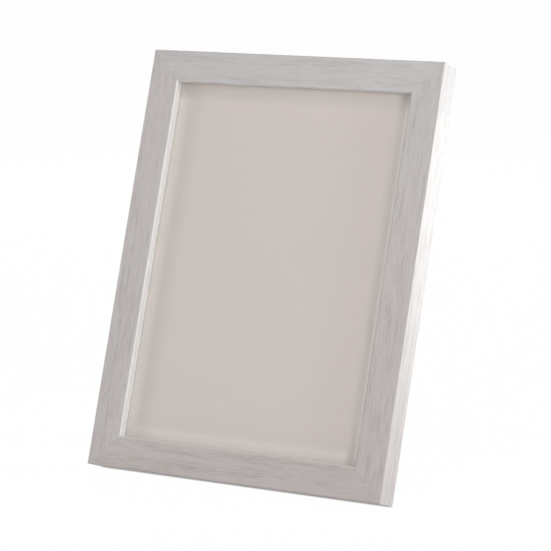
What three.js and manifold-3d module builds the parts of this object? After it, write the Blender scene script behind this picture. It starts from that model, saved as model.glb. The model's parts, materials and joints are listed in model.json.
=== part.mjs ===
// A tabletop photo frame. Four mitred mouldings hold the glass, the print, a filler card and a
// hardboard back, which four turn buttons keep in. An easel leg on a riveted hinge holds the
// frame up, and two ring hangers serve for hanging it upright or on its side.
// Millimetres, +Z up. The front looks towards -Y and leans back, towards +Y.
import * as THREE from "three";
import { mergeVertices } from "three/addons/utils/BufferGeometryUtils.js";
import Module from "manifold-3d";

const wasm = await Module();
wasm.setup();

// The print, and the sheets that lie in the rebate from front to back
const printWidth = 130;
const printHeight = 180;
const glassThickness = 2;
const printThickness = 0.3;
const cardThickness = 3;
const boardThickness = 3;

// Clearances
const seatGap = 0.3;
const holeGap = 0.3;
const rebateClearance = 0.5;
const mitreGap = 0.2;

// Moulding
const mouldingWidth = 15;
const lipThickness = 4.8;
const rebateWidth = 4.5;
const outerEdgeRadius = 0.5;
const sightEdgeRadius = 1;

// Corner wedges, driven in from the back across each mitre
const wedgeReach = 7.5;
const wedgeLength = 5.5;
const wedgeThickness = 0.5;
const wedgeDepth = 7;
const wedgeInset = 0.4;

// How the frame stands
const leanAngle = THREE.MathUtils.degToRad(19.5);
const legOpening = THREE.MathUtils.degToRad(35);

// Easel leg
const hingeHeight = 130;
const legSideMargin = 3;
const legFootWidth = 44;
const legThickness = 3;
const legCornerRadius = 4;
const legTopRise = 6;

// Leg hinge
const leafWidth = 20;
const leafReach = 19;
const leafThickness = 0.8;
const leafCornerRadius = 2.5;
const leafRivetFromEnd = 6.5;
const leafRivetFromSide = 4.5;
const knuckleRadius = 1.6;
const pinRadius = 0.8;
const pinHeadRadius = 1.3;
const pinHeadLength = 0.5;
const pinClearance = 0.25;

// Rivets
const rivetHeadRadius = 2.5;
const rivetHeadHeight = 0.9;
const rivetShankRadius = 1.2;
const rivetTailRadius = 2;
const rivetTailHeight = 0.7;

// Turn buttons and their screws
const buttonPivotRadius = 4.4;
const buttonTipRadius = 3.2;
const buttonOverlap = 7;
const buttonThickness = 1;
const buttonSpacing = 112;
const screwHeadRadius = 2.7;
const screwHeadHeight = 1.4;
const screwShankRadius = 1.1;
const screwLength = 9;
const screwTipLength = 2;
const screwSlotWidth = 0.7;
const screwSlotLength = 3.2;
const screwSlotDepth = 0.9;

// Ring hangers
const wireRadius = 0.9;
const wireClearance = 0.3;
const ringCornerRadius = 1.6;
const ringSideGap = 0.9;
const ringEndGap = 2.1;
const strapWidth = 9;
const strapThickness = 0.8;
const strapEyeTaper = 4;
const topHangerBelowRim = 24;
const sideHangerFromRim = 24;

// Smoothness of round parts
const roundSides = 18;
const arcSteps = 4;
const wireSides = 8;
const bowSteps = 16;

// Sizes that follow from those above
const rebateDepth = glassThickness + printThickness + cardThickness + boardThickness + 4 * seatGap;
const mouldingDepth = lipThickness + rebateDepth;
const rimWidth = mouldingWidth - rebateWidth;
const outerWidth = printWidth + 2 * (rebateClearance + rimWidth);
const outerHeight = printHeight + 2 * (rebateClearance + rimWidth);
const glassBack = -rebateDepth + seatGap + glassThickness;
const printBack = glassBack + seatGap + printThickness;
const cardBack = printBack + seatGap + cardThickness;
const boardFront = -boardThickness;
const hingeAxisOut = seatGap + knuckleRadius;
const leafRivetDrop = leafReach - leafRivetFromEnd;
const leafRivetSpacing = leafWidth - 2 * leafRivetFromSide;
const middleKnuckle = leafWidth / 6;
const legInnerFace = knuckleRadius + seatGap;
const legOuterFace = legInnerFace + legThickness;
const eyeRadius = wireRadius + wireClearance;
const ringAxisOut = seatGap + strapThickness + eyeRadius;
const strapRivetDrop = strapEyeTaper + rivetHeadRadius + seatGap;
const ringHalfWidth = strapWidth / 2 + ringSideGap + ringCornerRadius;
const ringStraight = strapRivetDrop + strapWidth / 2 + ringEndGap + wireRadius - ringHalfWidth;
const topBar = outerHeight - topHangerBelowRim;
const sideBar = outerWidth / 2 - sideHangerFromRim;

const foil = new THREE.MeshStandardMaterial({ color: 0xd4cfcb, roughness: 0.55, metalness: 0 });
const glass = new THREE.MeshStandardMaterial({
  color: 0xf2f7f5,
  roughness: 0.05,
  metalness: 0,
  transparent: true,
  opacity: 0.2,
});
const paper = new THREE.MeshStandardMaterial({ color: 0xe6dad4, roughness: 0.8, metalness: 0 });
const greyCard = new THREE.MeshStandardMaterial({ color: 0xa89f90, roughness: 0.95, metalness: 0 });
const hardboard = new THREE.MeshStandardMaterial({ color: 0x8a6a4a, roughness: 0.8, metalness: 0 });
const steel = new THREE.MeshStandardMaterial({ color: 0xb9bcbe, roughness: 0.35, metalness: 1 });
const plated = new THREE.MeshStandardMaterial({ color: 0xcbc9c4, roughness: 0.3, metalness: 1 });

// A closed geometry as a solid that can be joined and cut.
function toSolid(geometry) {
  const bare = geometry.clone();
  bare.deleteAttribute("normal");
  bare.deleteAttribute("uv");
  const merged = mergeVertices(bare);
  return new wasm.Manifold(
    new wasm.Mesh({
      numProp: 3,
      vertProperties: merged.attributes.position.array,
      triVerts: new Uint32Array(merged.index.array),
    }),
  );
}

// A named mesh from a solid.
function piece(name, solid, material) {
  const { numProp, vertProperties, triVerts } = solid.getMesh();
  const corners = new THREE.InterleavedBuffer(vertProperties, numProp);
  const geometry = new THREE.BufferGeometry();
  geometry.setAttribute("position", new THREE.InterleavedBufferAttribute(corners, 3, 0));
  geometry.setIndex(new THREE.BufferAttribute(triVerts, 1));
  const flat = geometry.toNonIndexed();
  flat.computeVertexNormals();
  const mesh = new THREE.Mesh(flat, material.clone());
  mesh.name = name;
  return mesh;
}

// A block between two opposite corners.
function block(low, high) {
  const size = high.map((value, i) => value - low[i]);
  const geometry = new THREE.BoxGeometry(...size);
  geometry.translate(...low.map((value, i) => value + size[i] / 2));
  return toSolid(geometry);
}

// A flat outline drawn in X and Z, thick from one Y to another.
function plate(shape, fromY, toY) {
  const depth = toY - fromY;
  const geometry = new THREE.ExtrudeGeometry(shape, { depth, bevelEnabled: false, curveSegments: arcSteps });
  geometry.rotateX(Math.PI / 2);
  geometry.translate(0, toY, 0);
  return toSolid(geometry);
}

// A profile drawn in Y and Z, run along X.
function run(shape, fromX, toX) {
  const depth = toX - fromX;
  const geometry = new THREE.ExtrudeGeometry(shape, { depth, bevelEnabled: false, curveSegments: arcSteps });
  geometry.rotateY(Math.PI / 2);
  geometry.rotateX(Math.PI / 2);
  geometry.translate(fromX, 0, 0);
  return toSolid(geometry);
}

// A round rod along Y, through a point in X and Z.
function rod(radius, fromY, toY, x, z) {
  const geometry = new THREE.CylinderGeometry(radius, radius, toY - fromY, roundSides);
  geometry.translate(x, (fromY + toY) / 2, z);
  return toSolid(geometry);
}

// A round rod along the X axis.
function axle(radius, fromX, toX) {
  const geometry = new THREE.CylinderGeometry(radius, radius, toX - fromX, roundSides);
  geometry.rotateZ(-Math.PI / 2);
  geometry.translate((fromX + toX) / 2, 0, 0);
  return toSolid(geometry);
}

// A turned piece about Y, from a profile of [radius, y] that starts and ends on the axis.
function turned(profile) {
  const points = profile.map(([radius, y]) => new THREE.Vector2(radius, y));
  return toSolid(new THREE.LatheGeometry(points, roundSides));
}

// Profile points of a low dome, from its rim up to the axis.
function dome(radius, baseY, height) {
  const sphereRadius = (radius ** 2 + height ** 2) / (2 * height);
  const rimAngle = Math.asin(radius / sphereRadius);
  return Array.from({ length: arcSteps + 1 }, (_, i) => {
    const angle = rimAngle * (1 - i / arcSteps);
    return [sphereRadius * Math.sin(angle), baseY + height - sphereRadius * (1 - Math.cos(angle))];
  });
}

function polygon(points) {
  return new THREE.Shape(points.map(([a, b]) => new THREE.Vector2(a, b)));
}

// Moulding profile in Y, from front to back, and Z, from the outer edge inwards.
function mouldingProfile() {
  const front = -mouldingDepth;
  const sightY = front + sightEdgeRadius;
  const sightZ = mouldingWidth - sightEdgeRadius;
  const outerY = front + outerEdgeRadius;
  const shape = new THREE.Shape();
  shape.moveTo(0, 0);
  shape.lineTo(0, rimWidth);
  shape.lineTo(-rebateDepth, rimWidth);
  shape.lineTo(-rebateDepth, mouldingWidth);
  shape.absarc(sightY, sightZ, sightEdgeRadius, Math.PI / 2, Math.PI, false);
  shape.absarc(outerY, outerEdgeRadius, outerEdgeRadius, Math.PI, 1.5 * Math.PI, false);
  return shape;
}

// A corner wedge's bent outline in X and Z, measured from the frame's outer corner.
function wedgeOutline(margin) {
  const far = wedgeReach + margin;
  const near = wedgeReach - wedgeThickness - margin;
  const end = wedgeReach - wedgeLength - margin;
  return polygon([[end, near], [near, near], [near, end], [far, end], [far, far], [end, far]]);
}

// A moulding along X with its outer edge at Z 0, mitred at both ends, with its screw holes.
function moulding(length, holesAt) {
  const half = length / 2;
  const end = half - mitreGap / Math.SQRT2;
  const inner = end - mouldingWidth;
  const mitred = polygon([[-end, 0], [end, 0], [inner, mouldingWidth], [-inner, mouldingWidth]]);
  let solid = run(mouldingProfile(), -half, half).intersect(plate(mitred, -mouldingDepth - 1, 1));
  const pocketDepth = wedgeInset + wedgeDepth + seatGap;
  const pocket = plate(wedgeOutline(seatGap), -pocketDepth, 1);
  solid = solid.subtract(pocket.translate([-half, 0, 0]));
  solid = solid.subtract(pocket.rotate([0, -90, 0]).translate([half, 0, 0]));
  for (const x of holesAt) {
    solid = solid.subtract(rod(screwShankRadius + holeGap, -screwLength - holeGap, 1, x, rimWidth / 2));
  }
  return solid;
}

function addMouldings(frame) {
  const screws = [-buttonSpacing / 2, buttonSpacing / 2];
  const mouldings = [
    ["bottom_rail", outerWidth, [], [0, 0, 0], 0],
    ["top_rail", outerWidth, [], [0, 0, outerHeight], Math.PI],
    ["left_stile", outerHeight, screws, [-outerWidth / 2, 0, outerHeight / 2], Math.PI / 2],
    ["right_stile", outerHeight, screws, [outerWidth / 2, 0, outerHeight / 2], -Math.PI / 2],
  ];
  for (const [name, length, holesAt, place, turn] of mouldings) {
    const mesh = piece(name, moulding(length, holesAt), foil);
    mesh.position.set(...place);
    mesh.rotation.y = turn;
    frame.add(mesh);
  }
}

function addCornerWedges(frame) {
  const corners = [
    ["corner_wedge_bottom_left", -outerWidth / 2, 0, 0],
    ["corner_wedge_bottom_right", outerWidth / 2, 0, -Math.PI / 2],
    ["corner_wedge_top_right", outerWidth / 2, outerHeight, Math.PI],
    ["corner_wedge_top_left", -outerWidth / 2, outerHeight, Math.PI / 2],
  ];
  for (const [name, x, z, turn] of corners) {
    const mesh = piece(name, plate(wedgeOutline(0), -wedgeInset - wedgeDepth, -wedgeInset), steel);
    mesh.position.set(x, 0, z);
    mesh.rotation.y = turn;
    frame.add(mesh);
  }
}

// A sheet of the print's size, centred in the rebate.
function sheet(thickness, backY) {
  const low = (outerHeight - printHeight) / 2;
  return block([-printWidth / 2, backY - thickness, low], [printWidth / 2, backY, low + printHeight]);
}

function addSheets(frame) {
  frame.add(piece("glass_pane", sheet(glassThickness, glassBack), glass));
  frame.add(piece("print_sheet", sheet(printThickness, printBack), paper));
  frame.add(piece("filler_card", sheet(cardThickness, cardBack), greyCard));
}

// Where rivets go through the back board, as [x, z].
const hingeRivets = [-1, 1].map((side) => [(side * leafRivetSpacing) / 2, hingeHeight + leafRivetDrop]);
const topHangerRivet = [0, topBar - strapRivetDrop];
const sideHangerRivet = [sideBar - strapRivetDrop, outerHeight / 2];

// A rivet's hole through the back board, with a seat sunk from the front for its tail.
function boardRivetHole([x, z]) {
  const through = rod(rivetShankRadius + holeGap, boardFront - 1, 1, x, z);
  const seatDepth = rivetTailHeight + 2 * seatGap;
  return through.add(rod(rivetTailRadius + holeGap, boardFront - 1, boardFront + seatDepth, x, z));
}

function addBackBoard(frame) {
  let solid = sheet(boardThickness, 0);
  for (const place of [...hingeRivets, topHangerRivet, sideHangerRivet]) {
    solid = solid.subtract(boardRivetHole(place));
  }
  frame.add(piece("back_board", solid, hardboard));
}

// A rivet along Y, its head standing at headY and its tail spread up to tailY.
function rivet(headY, tailY) {
  const tailEnd = tailY - rivetTailHeight;
  return turned([
    [0, tailEnd],
    [rivetTailRadius, tailEnd],
    [rivetTailRadius, tailY],
    [rivetShankRadius, tailY],
    [rivetShankRadius, headY],
    ...dome(rivetHeadRadius, headY, rivetHeadHeight),
  ]);
}

// A rivet that holds something of the stated top face to the back board.
function addBoardRivet(frame, name, [x, z], faceY) {
  const mesh = piece(name, rivet(faceY + seatGap, boardFront + rivetTailHeight + seatGap), plated);
  mesh.position.set(x, 0, z);
  frame.add(mesh);
}

// A hinge leaf that rises from the pin along X, its plate touching the knuckles' rear tangent.
// The knuckles fill the stated spans of its width.
function hingeLeaf(knuckleSpans) {
  const half = leafWidth / 2;
  const backY = -knuckleRadius;
  const frontY = backY + leafThickness;
  const outline = new THREE.Shape();
  const cornerZ = leafReach - leafCornerRadius;
  outline.moveTo(-half, knuckleRadius + seatGap);
  outline.lineTo(half, knuckleRadius + seatGap);
  outline.absarc(half - leafCornerRadius, cornerZ, leafCornerRadius, 0, Math.PI / 2, false);
  outline.absarc(-half + leafCornerRadius, cornerZ, leafCornerRadius, Math.PI / 2, Math.PI, false);
  let leaf = plate(outline, backY, frontY);
  for (const [from, to] of knuckleSpans) {
    leaf = leaf.add(block([from, backY, 0], [to, frontY, leafReach / 2]));
    leaf = leaf.add(axle(knuckleRadius, from, to));
  }
  for (const side of [-1, 1]) {
    const x = (side * leafRivetSpacing) / 2;
    leaf = leaf.subtract(rod(rivetShankRadius + holeGap, backY - 1, frontY + 1, x, leafRivetDrop));
  }
  return leaf.subtract(axle(pinRadius + pinClearance, -leafWidth, leafWidth));
}

function hingePin() {
  const half = leafWidth / 2 + seatGap;
  const rightHead = axle(pinHeadRadius, half, half + pinHeadLength);
  const leftHead = axle(pinHeadRadius, -half - pinHeadLength, -half);
  return axle(pinRadius, -half, half).add(rightHead).add(leftHead);
}

function addFixedHinge(frame) {
  const outerSpans = [
    [-leafWidth / 2, -middleKnuckle - seatGap],
    [middleKnuckle + seatGap, leafWidth / 2],
  ];
  const fixed = [
    piece("hinge_board_leaf", hingeLeaf(outerSpans), plated),
    piece("hinge_pin", hingePin(), plated),
  ];
  for (const mesh of fixed) {
    mesh.position.set(0, hingeAxisOut, hingeHeight);
    frame.add(mesh);
  }
  hingeRivets.forEach((place, i) => {
    addBoardRivet(frame, `hinge_board_rivet_${i + 1}`, place, seatGap + leafThickness);
  });
}

// How far below the hinge axis the foot's cut lies, at a distance out from the axis. The open
// foot then lies flat on what the frame stands on.
function footDrop(out) {
  const axisHeight = hingeHeight * Math.cos(leanAngle) - hingeAxisOut * Math.sin(leanAngle);
  const tilt = legOpening - leanAngle;
  return (axisHeight + out * Math.sin(tilt)) / Math.cos(tilt);
}

// How far above the hinge axis the leg's top bevel lies, at a distance out from the axis. The
// bevel meets the board's hinge leaf when the leg is open, and stops it there.
function bevelRise(out) {
  const stopY = leafThickness - knuckleRadius + seatGap;
  return (out * Math.cos(legOpening) - stopY) / Math.sin(legOpening);
}

// The leg about the hinge axis, hanging as when it is folded flat.
function legSolid() {
  const innerRise = bevelRise(legInnerFace);
  const bevelDepth = Math.min((legTopRise - innerRise) * Math.tan(legOpening), legThickness);
  const side = polygon([
    [legInnerFace, innerRise],
    [legInnerFace, -footDrop(legInnerFace)],
    [legOuterFace, -footDrop(legOuterFace)],
    [legOuterFace, legTopRise],
    [legInnerFace + bevelDepth, legTopRise],
  ]);
  const top = leafWidth / 2 + legSideMargin;
  const foot = legFootWidth / 2;
  const end = -footDrop(legOuterFace) - 1;
  const shoulder = top + ((foot - top) * legCornerRadius) / (legTopRise - end);
  const outline = new THREE.Shape();
  outline.moveTo(-foot, end);
  outline.lineTo(foot, end);
  outline.lineTo(shoulder, legTopRise - legCornerRadius);
  outline.quadraticCurveTo(top, legTopRise, top - legCornerRadius, legTopRise);
  outline.lineTo(-top + legCornerRadius, legTopRise);
  outline.quadraticCurveTo(-top, legTopRise, -shoulder, legTopRise - legCornerRadius);
  return run(side, -foot, foot).intersect(plate(outline, legInnerFace - 1, legOuterFace + 1));
}

function addLeg(frame) {
  const leg = new THREE.Group();
  leg.position.set(0, hingeAxisOut, hingeHeight);
  leg.rotation.x = legOpening;
  frame.add(leg);
  const leafInner = knuckleRadius - leafThickness;
  let board = legSolid();
  for (const side of [-1, 1]) {
    const x = (side * leafRivetSpacing) / 2;
    board = board.subtract(rod(rivetShankRadius + holeGap, 0, legOuterFace + 1, x, -leafRivetDrop));
    const solid = rivet(legOuterFace + seatGap, leafInner - seatGap);
    const mesh = piece(`leg_rivet_${side < 0 ? 1 : 2}`, solid, plated);
    mesh.position.set(x, 0, -leafRivetDrop);
    leg.add(mesh);
  }
  leg.add(piece("easel_leg", board, hardboard));
  const leaf = piece("hinge_leg_leaf", hingeLeaf([[-middleKnuckle, middleKnuckle]]), plated);
  leaf.rotation.x = Math.PI;
  leg.add(leaf);
}

// A turn button about its screw, pointing along +X.
function turnButton() {
  const reach = rimWidth / 2 + rebateClearance + buttonOverlap - buttonTipRadius;
  const tangent = Math.acos((buttonPivotRadius - buttonTipRadius) / reach);
  const outline = new THREE.Shape();
  outline.absarc(0, 0, buttonPivotRadius, tangent, 2 * Math.PI - tangent, false);
  outline.absarc(reach, 0, buttonTipRadius, -tangent, tangent, false);
  const hole = rod(screwShankRadius + holeGap, 0, seatGap + buttonThickness + 1, 0, 0);
  return plate(outline, seatGap, seatGap + buttonThickness).subtract(hole);
}

function buttonScrew() {
  const headBase = 2 * seatGap + buttonThickness;
  const top = headBase + screwHeadHeight;
  const body = turned([
    [0, -screwLength],
    [screwShankRadius, -screwLength + screwTipLength],
    [screwShankRadius, headBase],
    ...dome(screwHeadRadius, headBase, screwHeadHeight),
  ]);
  const [long, short] = [screwSlotLength / 2, screwSlotWidth / 2];
  const slots = [[long, short], [short, long]].map(([x, z]) => {
    return block([-x, top - screwSlotDepth, -z], [x, top + 1, z]);
  });
  return body.subtract(slots[0].add(slots[1]));
}

function addTurnButtons(frame) {
  const places = [
    ["left_low", -1, -1],
    ["left_high", -1, 1],
    ["right_low", 1, -1],
    ["right_high", 1, 1],
  ];
  for (const [name, side, level] of places) {
    const x = (side * (outerWidth - rimWidth)) / 2;
    const z = (outerHeight + level * buttonSpacing) / 2;
    const button = piece(`turn_button_${name}`, turnButton(), plated);
    button.position.set(x, 0, z);
    button.rotation.y = side > 0 ? Math.PI : 0;
    const screw = piece(`button_screw_${name}`, buttonScrew(), plated);
    screw.position.set(x, 0, z);
    frame.add(button, screw);
  }
}

// A folded strap about the ring's bar: an eye round the bar, and a doubled tail below it.
function strapSolid() {
  const half = strapWidth / 2;
  const outerRadius = eyeRadius + strapThickness;
  const tailFace = 2 * strapThickness - outerRadius;
  const profile = new THREE.Shape();
  profile.moveTo(-outerRadius, -strapRivetDrop - half);
  profile.lineTo(tailFace, -strapRivetDrop - half);
  profile.lineTo(tailFace, -strapEyeTaper);
  profile.absarc(0, 0, outerRadius, 0, Math.PI, false);
  const outline = new THREE.Shape();
  outline.moveTo(half, outerRadius + 1);
  outline.lineTo(-half, outerRadius + 1);
  outline.absarc(0, -strapRivetDrop, half, Math.PI, 2 * Math.PI, false);
  const eye = axle(eyeRadius, -strapWidth, strapWidth);
  const hole = rod(rivetShankRadius + holeGap, -outerRadius - 1, outerRadius, 0, -strapRivetDrop);
  const rounded = run(profile, -half, half).intersect(plate(outline, -outerRadius - 1, outerRadius + 1));
  return rounded.subtract(eye).subtract(hole);
}

// Centre-line points of the ring in X and Z: its bar on the X axis, and its bow below.
function ringLine() {
  const side = ringHalfWidth - ringCornerRadius;
  const arc = (x, z, radius, from, to, steps) => {
    return new THREE.EllipseCurve(x, z, radius, radius, from, to, true).getPoints(steps);
  };
  return [
    ...arc(-side, -ringCornerRadius, ringCornerRadius, Math.PI, Math.PI / 2, arcSteps),
    ...arc(side, -ringCornerRadius, ringCornerRadius, Math.PI / 2, 0, arcSteps),
    ...arc(0, -ringStraight, ringHalfWidth, 0, -Math.PI, bowSteps),
  ];
}

// The ring's wire, of round section, swept along its closed line.
function ringSolid() {
  const line = ringLine();
  const positions = [];
  const index = [];
  line.forEach((point, i) => {
    const along = line[(i + 1) % line.length].clone().sub(line.at(i - 1)).normalize();
    for (let k = 0; k < wireSides; k++) {
      const angle = (2 * Math.PI * k) / wireSides;
      const aside = wireRadius * Math.cos(angle);
      positions.push(point.x + along.y * aside, wireRadius * Math.sin(angle), point.y - along.x * aside);
      const a = i * wireSides + k;
      const b = i * wireSides + ((k + 1) % wireSides);
      const [c, d] = [a, b].map((corner) => (corner + wireSides) % (line.length * wireSides));
      index.push(a, b, c, b, d, c);
    }
  });
  const geometry = new THREE.BufferGeometry();
  geometry.setAttribute("position", new THREE.Float32BufferAttribute(positions, 3));
  geometry.setIndex(index);
  return toSolid(geometry);
}

// A hanger about its ring's bar, with its strap's tail down and its ring swung out by an angle.
function addHanger(frame, name, [x, z], turn, swing) {
  const hanger = new THREE.Group();
  hanger.position.set(x, ringAxisOut, z);
  hanger.rotation.y = turn;
  frame.add(hanger);
  const ring = piece(`${name}_hanger_ring`, ringSolid(), plated);
  ring.rotation.x = swing;
  hanger.add(piece(`${name}_hanger_strap`, strapSolid(), plated), ring);
}

function addHangers(frame) {
  addHanger(frame, "top", [0, topBar], 0, leanAngle);
  addHanger(frame, "side", [sideBar, outerHeight / 2], Math.PI / 2, Math.PI / 2);
  const tailFace = seatGap + 2 * strapThickness;
  addBoardRivet(frame, "top_hanger_rivet", topHangerRivet, tailFace);
  addBoardRivet(frame, "side_hanger_rivet", sideHangerRivet, tailFace);
}

// Everything about the frame's lower edge at the back, before it leans.
const frame = new THREE.Group();
addMouldings(frame);
addCornerWedges(frame);
addSheets(frame);
addBackBoard(frame);
addFixedHinge(frame);
addLeg(frame);
addTurnButtons(frame);
addHangers(frame);
frame.rotation.x = -leanAngle;

// The frame stands on Z 0 with the middle of its footprint at the origin.
const photoFrame = new THREE.Group();
photoFrame.add(frame);
const bounds = new THREE.Box3().setFromObject(photoFrame, true);
frame.position.y = -(bounds.min.y + bounds.max.y) / 2;
frame.position.z = -bounds.min.z;

export default photoFrame;
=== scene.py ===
# A small whitewashed picture frame that leans back on a hinged leg: its finish, and its studio.
import json
import math

import bpy
import bmesh
import numpy as np
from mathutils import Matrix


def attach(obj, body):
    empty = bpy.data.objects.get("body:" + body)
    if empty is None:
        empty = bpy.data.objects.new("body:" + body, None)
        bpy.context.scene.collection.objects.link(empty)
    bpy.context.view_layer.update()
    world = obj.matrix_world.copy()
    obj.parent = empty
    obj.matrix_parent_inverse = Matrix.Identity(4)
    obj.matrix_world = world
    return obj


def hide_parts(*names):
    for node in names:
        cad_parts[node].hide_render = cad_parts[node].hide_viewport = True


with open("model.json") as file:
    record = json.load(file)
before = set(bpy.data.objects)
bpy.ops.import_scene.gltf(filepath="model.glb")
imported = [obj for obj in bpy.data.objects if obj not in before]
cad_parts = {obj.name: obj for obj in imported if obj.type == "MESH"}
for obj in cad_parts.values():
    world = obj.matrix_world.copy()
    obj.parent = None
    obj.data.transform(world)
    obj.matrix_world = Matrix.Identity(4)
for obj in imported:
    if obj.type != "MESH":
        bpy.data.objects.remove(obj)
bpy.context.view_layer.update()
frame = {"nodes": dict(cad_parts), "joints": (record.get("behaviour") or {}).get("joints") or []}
scene = bpy.context.scene

# Sizes of pieces are in millimetres, x first, then out of the back, then up the face.
mm = 0.001

# How the frame stands, and where its leg's hinge is.
stance = {"lean": math.radians(19.5), "legOpening": math.radians(35), "hingeOut": 1.9, "hingeUp": 130.0}
legHinge = next(joint for joint in frame["joints"] if joint["name"] == "leg_hinge")
hinge = np.array(legHinge["pos_m"]) / mm


# Turned about the X axis: y and z go round by the angle, x stays.
def aboutX(points, angle):
    x, y, z = np.moveaxis(np.asarray(points, float), -1, 0)
    c, s = math.cos(angle), math.sin(angle)
    return np.stack([x, y * c - z * s, y * s + z * c], -1)


# Turned about the Y axis: z and x go round by the angle, y stays.
def aboutY(points, angle):
    x, y, z = np.moveaxis(np.asarray(points, float), -1, 0)
    c, s = math.cos(angle), math.sin(angle)
    return np.stack([x * c + z * s, y, z * c - x * s], -1)


# From the frame's own lower back edge to the world, in metres.
def onFrame(points):
    hingeFromEdge = aboutX([0, stance["hingeOut"], stance["hingeUp"]], -stance["lean"])
    return mm * (aboutX(points, -stance["lean"]) + hinge - hingeFromEdge)


# From the hinge to the world, in metres, square to the frame.
def onHinge(points):
    return onFrame(np.add(points, [0, stance["hingeOut"], stance["hingeUp"]]))


# From the leg's hinge, with the leg open, to the world, in metres.
def onLeg(points):
    return mm * (aboutX(points, stance["legOpening"] - stance["lean"]) + hinge)


view = {
    "place": (0.48235, -0.94051, 0.28537), "aim": (-0.00115, 0.0, 0.09327), "lens": 149.6,
    "nearest": 0.05, "farthest": 60.0,
}


# The turn that points a camera or a lamp from its place at its aim.
def turnTo(place, aim):
    x, y, z = np.subtract(aim, place)
    return math.atan2(math.hypot(x, y), -z), 0, math.atan2(-x, y)


def makeCamera():
    data = bpy.data.cameras.new("photoView")
    data.lens = view["lens"]
    data.clip_start, data.clip_end = view["nearest"], view["farthest"]
    camera = bpy.data.objects.new("photoView", data)
    scene.collection.objects.link(camera)
    camera.location = view["place"]
    camera.rotation_euler = turnTo(view["place"], view["aim"])
    scene.camera = camera


makeCamera()
print("camera made")


def unit(vectors):
    return vectors / np.linalg.norm(vectors, axis=-1, keepdims=True)


# Each corner becomes an arc that touches both of its sides: its centre lies on the halving line,
# and its points turn evenly from one touching point to the other.
def rounded(corners, radii, steps, closed=True):
    corners = np.array(corners, float)
    radii = np.broadcast_to(np.array(radii, float), len(corners))[:, None]
    back, ahead = unit(np.roll(corners, 1, 0) - corners), unit(np.roll(corners, -1, 0) - corners)
    half = np.arccos(np.clip((back * ahead).sum(1, keepdims=True), -1, 1)) / 2
    centre = corners + unit(back + ahead) * radii / np.sin(half)
    first = (corners + back * radii / np.tan(half) - centre) / radii
    last = (corners + ahead * radii / np.tan(half) - centre) / radii
    share, turn = np.linspace(0, 1, steps + 1), math.pi - 2 * half
    a, b = np.sin((1 - share) * turn) / np.sin(turn), np.sin(share * turn) / np.sin(turn)
    between = a[..., None] * first[:, None] + b[..., None] * last[:, None]
    arcs = centre[:, None] + radii[:, None] * between
    if closed:
        return arcs.reshape(-1, 2)
    return np.vstack([corners[:1], arcs[1:-1].reshape(-1, 2), corners[-1:]])


# Corner numbers of the four-sided faces between neighbouring points of a grid.
def gridFaces(rows, columns, roundRows=False, roundColumns=True):
    rowNumbers = np.arange(rows if roundRows else rows - 1)
    columnNumbers = np.arange(columns if roundColumns else columns - 1)
    i, j = np.meshgrid(rowNumbers, columnNumbers, indexing="ij")
    row, nextRow, nextColumn = i * columns, (i + 1) % rows * columns, (j + 1) % columns
    return np.stack([row + j, nextRow + j, nextRow + nextColumn, row + nextColumn], -1).reshape(-1, 4)


# The grid's faces with a flat face over its first and its last row. In a grid with a seam the
# last column lies on the first one.
def capped(rows, columns, seam=False):
    ring = np.arange(columns - 1 if seam else columns)[None]
    return [gridFaces(rows, columns, roundColumns=not seam), ring, ring + (rows - 1) * columns]


# The grid's faces with a fan at both ends. The two poles are the points after the grid's own.
def fanned(rows, columns):
    ring, nextOne = np.arange(columns), (np.arange(columns) + 1) % columns
    lastRing, count = (rows - 1) * columns, rows * columns
    firstFan = np.stack([ring, nextOne, np.full(columns, count)], 1)
    lastFan = np.stack([ring + lastRing, nextOne + lastRing, np.full(columns, count + 1)], 1)
    return [gridFaces(rows, columns), firstFan, lastFan]


# A flat plate: its outline in x and z at every depth, drawn in by a quarter circle at both faces.
def plate(outline, low, high, ease, steps=3):
    along = unit(np.roll(outline, -1, 0) - np.roll(outline, 1, 0))
    inward = np.stack([-along[:, 1], along[:, 0]], 1)
    x, z = outline.T
    inward *= np.sign((x * np.roll(z, -1) - z * np.roll(x, -1)).sum())
    angle = np.linspace(0, math.pi / 2, steps + 1) if ease else np.array([math.pi / 2])
    drawnIn, off = ease * (1 - np.sin(angle)), ease * (1 - np.cos(angle))
    depth = np.concatenate([low + off, high - off[::-1]])
    flat = outline + np.concatenate([drawnIn, drawnIn[::-1]])[:, None, None] * inward
    points = np.stack([flat[..., 0], np.broadcast_to(depth[:, None], flat.shape[:2]), flat[..., 1]], -1)
    return points.reshape(-1, 3), capped(len(depth), len(outline))


# An upright box with sharp edges, for cutting.
def box(low, high):
    (x0, y0, z0), (x1, y1, z1) = low, high
    return plate(np.array([(x0, z0), (x1, z0), (x1, z1), (x0, z1)], float), y0, y1, 0)


# Rings about Y: each radius times the cosine and sine of the angle, at its height along Y.
def rings(radius, along, sides):
    angle = np.linspace(0, 2 * math.pi, sides, endpoint=False)
    return np.stack(np.broadcast_arrays(radius * np.cos(angle), along, radius * np.sin(angle)), -1)


# A turned piece about Y: a ring for each point of its profile, and a pole at both ends.
def turned(profile, sides=48):
    radius, along = np.array(profile, float).T
    body = rings(radius[1:-1, None], along[1:-1, None], sides).reshape(-1, 3)
    return np.vstack([body, [[0, along[0], 0], [0, along[-1], 0]]]), fanned(len(radius) - 2, sides)


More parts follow.
